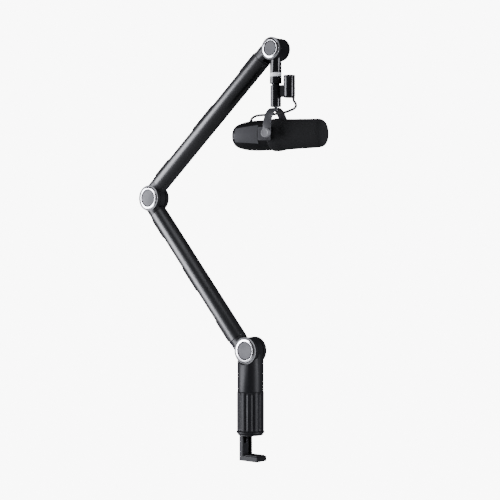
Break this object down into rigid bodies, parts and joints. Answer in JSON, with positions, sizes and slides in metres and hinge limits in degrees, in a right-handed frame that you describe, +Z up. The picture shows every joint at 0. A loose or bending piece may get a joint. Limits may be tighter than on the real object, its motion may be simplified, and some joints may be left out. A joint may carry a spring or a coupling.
{
  "type": "broadcast microphone on a desk boom arm",
  "caption": "Foam-covered broadcast microphone in a yoke, hung from a two-link tube boom arm with capped hinges and a screw desk clamp.",
  "frame": {"origin": "centre of the clamp's upper jaw, in the plane of the desk top it rests on", "axes": "+Z up; the arm folds in the XZ plane and reaches towards +X; the hinges' pins lie along Y"},
  "size_m": [0.4394, 0.1016, 0.8062],
  "materials": {
    "black_coat": "satin",
    "dark_grey_coat": "satin",
    "black_plastic": "matte",
    "chrome": "polished",
    "brushed_disc": "brushed",
    "steel": "satin",
    "brass": "satin",
    "rubber": "matte",
    "foam": "open-cell foam",
    "side_grey": "satin",
    "white_ring": "satin",
    "board_green": "matte"
  },
  "bodies": {
    "clamp": {"clamp_core": "dark_grey_coat", "upper_jaw_pad": "rubber", "guide_rail": "steel", "swivel_bushing": "brass"},
    "knob": {"clamp_knob": "dark_grey_coat"},
    "jaw": {"lower_jaw": "dark_grey_coat", "jaw_rack": "steel", "jaw_pad": "rubber"},
    "post": {"post": "dark_grey_coat"},
    "lower_arm": {"lower_tube": "black_coat", "lower_base_fork": "black_coat", "lower_elbow_fork": "black_coat", "lower_cable_cover": "black_plastic", "lower_spring": "steel", "base_pivot_bolt": "steel", "base_near_ring": "chrome", "base_far_ring": "chrome", "base_near_disc": "brushed_disc", "base_far_disc": "brushed_disc", "elbow_pivot_bolt": "steel", "elbow_near_ring": "chrome", "elbow_far_ring": "chrome", "elbow_near_disc": "brushed_disc", "elbow_far_disc": "brushed_disc"},
    "upper_arm": {"upper_tube": "black_coat", "upper_knuckle": "black_coat", "upper_fork": "black_coat", "upper_cable_cover": "black_plastic", "upper_spring": "steel", "head_pivot_bolt": "steel", "head_near_ring": "chrome", "head_far_ring": "chrome", "head_near_disc": "brushed_disc", "head_far_disc": "brushed_disc"},
    "head": {"head_knuckle": "black_coat", "thread_stud": "steel", "marker_ring": "white_ring"},
    "lock_ring": {"lock_ring": "black_coat"},
    "mount": {"yoke_socket": "black_coat", "connector_bridge": "side_grey", "connector_housing": "black_coat", "connector_insert": "black_plastic", "lead_gland": "rubber", "yoke": "dark_grey_coat", "yoke_bolt": "steel", "mic_lead": "rubber"},
    "near_knob": {"near_yoke_knob": "side_grey"},
    "far_knob": {"far_yoke_knob": "side_grey"},
    "microphone": {"body_shell": "black_coat", "near_side_plate": "side_grey", "far_side_plate": "side_grey", "near_yoke_boss": "side_grey", "far_yoke_boss": "side_grey", "retaining_ring": "black_plastic", "grille_cage": "steel", "foam_windscreen": "foam", "capsule": "black_plastic", "capsule_mount": "rubber", "circuit_board": "board_green", "lead_grommet": "rubber"}
  },
  "joints": [
    {"name": "knob_turn", "type": "hinge", "parent": "clamp", "child": "knob", "pos_m": [0, 0, 0.04], "axis": [0, 0, 1], "range_deg": [-800, 1030]},
    {"name": "jaw_slide", "type": "slide", "parent": "clamp", "child": "jaw", "axis": [0, 0, 1], "range_m": [-0.018, 0.023]},
    {"name": "base_swivel", "type": "hinge", "parent": "clamp", "child": "post", "pos_m": [0, 0, 0.1], "axis": [0, 0, 1], "continuous": true},
    {"name": "base_tilt", "type": "hinge", "parent": "post", "child": "lower_arm", "pos_m": [0, 0, 0.162], "axis": [0, 1, 0], "range_deg": [-15, 85]},
    {"name": "elbow", "type": "hinge", "parent": "lower_arm", "child": "upper_arm", "pos_m": [-0.25069, 0, 0.46076], "axis": [0, 1, 0], "range_deg": [-75, 45]},
    {"name": "head_tilt", "type": "hinge", "parent": "upper_arm", "child": "head", "pos_m": [0.06061, 0, 0.7352], "axis": [0, 1, 0], "range_deg": [-100, 8]},
    {"name": "lock_ring_turn", "type": "hinge", "parent": "head", "child": "lock_ring", "pos_m": [0.06061, 0, 0.6762], "axis": [0, 0, 1], "continuous": true},
    {"name": "mic_swivel", "type": "hinge", "parent": "head", "child": "mount", "pos_m": [0.06061, 0, 0.6452], "axis": [0, 0, 1], "range_deg": [-110, 110]},
    {"name": "yoke_tilt", "type": "hinge", "parent": "mount", "child": "microphone", "pos_m": [0.06061, 0, 0.5729], "axis": [-0.225, 0.9744, 0], "range_deg": [-28, 28], "deforming": ["mic_lead"]},
    {"name": "near_knob_turn", "type": "hinge", "parent": "mount", "child": "near_knob", "pos_m": [0.07096, -0.04482, 0.5729], "axis": [-0.225, 0.9744, 0], "range_deg": [-180, 180]},
    {"name": "far_knob_turn", "type": "hinge", "parent": "mount", "child": "far_knob", "pos_m": [0.05026, 0.04482, 0.5729], "axis": [-0.225, 0.9744, 0], "range_deg": [-180, 180]}
  ],
  "couplings": [
    {"joint": "jaw_slide", "follows": "knob_turn", "m_per_rad": 0.0012732}
  ]
}
